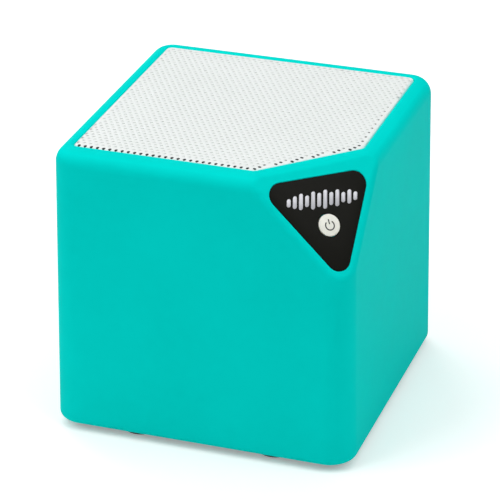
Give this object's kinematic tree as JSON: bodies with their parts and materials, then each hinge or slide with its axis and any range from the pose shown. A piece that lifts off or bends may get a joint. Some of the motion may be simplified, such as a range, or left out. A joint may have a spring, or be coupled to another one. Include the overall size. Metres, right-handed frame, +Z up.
{
  "type": "portable bluetooth speaker",
  "caption": "Small cube-shaped portable wireless speaker with a perforated metal top grille, a cut corner with a triangular badge and lens, rear keys and ports, black base and rubber feet.",
  "frame": {"origin": "on the resting plane, under the middle of the cube", "axes": "+Z up; -Y out of the large plain front face; +X to the right of it; the cut corner faces (+X, -Y, +Z); ports and keys are on the +Y face"},
  "size_m": [0.0616, 0.0624, 0.06],
  "materials": {
    "shell_plastic": "soft-touch satin teal, finely grained",
    "grille_metal": "white powder coat on perforated steel",
    "scrim_cloth": "pale acoustic cloth",
    "badge_black": "black, semi-gloss, printed silver bars",
    "lens_clear": "milky translucent indicator lens",
    "circuit_board": "green solder mask",
    "white_plastic": "white",
    "base_plastic": "black, fine texture",
    "foot_rubber": "dull black",
    "black_screw": "black oxide",
    "bright_screw": "zinc plated",
    "gasket_foam": "closed-cell foam",
    "basket_steel": "black e-coat on pressed steel",
    "surround_rubber": "matte black",
    "cone_paper": "black pressed paper",
    "coil_copper": "enamelled copper winding",
    "spider_cloth": "resin-stiffened cloth",
    "magnet_steel": "zinc plated",
    "ferrite": "dull grey ferrite",
    "terminal_phenolic": "brown phenolic board",
    "control_plastic": "black satin",
    "port_metal": "tin plated",
    "port_plastic": "black",
    "chip_plastic": "black epoxy",
    "can_aluminium": "drawn can",
    "battery_foil": "satin pouch foil",
    "lead_pvc": "red and black insulated wire"
  },
  "bodies": {
    "enclosure": {"shell": "shell_plastic", "grille": "grille_metal", "grille_cloth": "scrim_cloth", "badge_plate": "badge_black", "led_lens": "lens_clear", "led_board": "circuit_board", "main_pcb": "circuit_board", "key_board": "circuit_board", "led": "white_plastic", "key_ribbon": "white_plastic", "base_plate": "base_plastic", "foot_front_left": "foot_rubber", "foot_front_right": "foot_rubber", "foot_rear_left": "foot_rubber", "foot_rear_right": "foot_rubber", "base_screw_front_left": "black_screw", "base_screw_front_right": "black_screw", "base_screw_rear_left": "black_screw", "base_screw_rear_right": "black_screw", "driver_screw_front_left": "bright_screw", "driver_screw_front_right": "bright_screw", "driver_screw_rear_left": "bright_screw", "driver_screw_rear_right": "bright_screw", "pcb_screw_left": "bright_screw", "pcb_screw_right": "bright_screw", "key_board_screw_left": "bright_screw", "key_board_screw_right": "bright_screw", "speaker_gasket": "gasket_foam", "battery_foam_pad": "gasket_foam", "basket": "basket_steel", "surround": "surround_rubber", "spider": "spider_cloth", "top_plate": "magnet_steel", "yoke": "magnet_steel", "magnet": "ferrite", "terminal_board": "terminal_phenolic", "power_switch_body": "port_metal", "usb_connector": "port_metal", "tf_card_socket": "port_metal", "crystal": "port_metal", "aux_jack": "port_plastic", "bluetooth_chip": "chip_plastic", "amplifier_chip": "chip_plastic", "tact_switch_previous": "chip_plastic", "tact_switch_play": "chip_plastic", "tact_switch_next": "chip_plastic", "capacitor_1": "can_aluminium", "capacitor_2": "can_aluminium", "microphone": "can_aluminium", "battery_cell": "battery_foil", "speaker_lead": "lead_pvc", "battery_lead": "lead_pvc", "led_lead": "lead_pvc"},
    "power_switch_knob": {"power_switch_knob": "control_plastic"},
    "button_previous": {"button_previous": "control_plastic"},
    "button_play": {"button_play": "control_plastic"},
    "button_next": {"button_next": "control_plastic"},
    "cone_assembly": {"cone": "cone_paper", "dust_cap": "cone_paper", "voice_coil": "coil_copper"}
  },
  "joints": [
    {"name": "power_switch_slide", "type": "slide", "parent": "enclosure", "child": "power_switch_knob", "axis": [1, 0, 0], "range_m": [0, 0.002]},
    {"name": "button_previous_press", "type": "slide", "parent": "enclosure", "child": "button_previous", "axis": [0, -1, 0], "range_m": [0, 0.0005], "stiffness_N_per_m": 2500},
    {"name": "button_play_press", "type": "slide", "parent": "enclosure", "child": "button_play", "axis": [0, -1, 0], "range_m": [0, 0.0005], "stiffness_N_per_m": 2500},
    {"name": "button_next_press", "type": "slide", "parent": "enclosure", "child": "button_next", "axis": [0, -1, 0], "range_m": [0, 0.0005], "stiffness_N_per_m": 2500},
    {"name": "cone_excursion", "type": "slide", "parent": "enclosure", "child": "cone_assembly", "axis": [0, 0, 1], "range_m": [-0.001, 0.001], "stiffness_N_per_m": 1800, "deforming": ["surround", "spider"]}
  ]
}
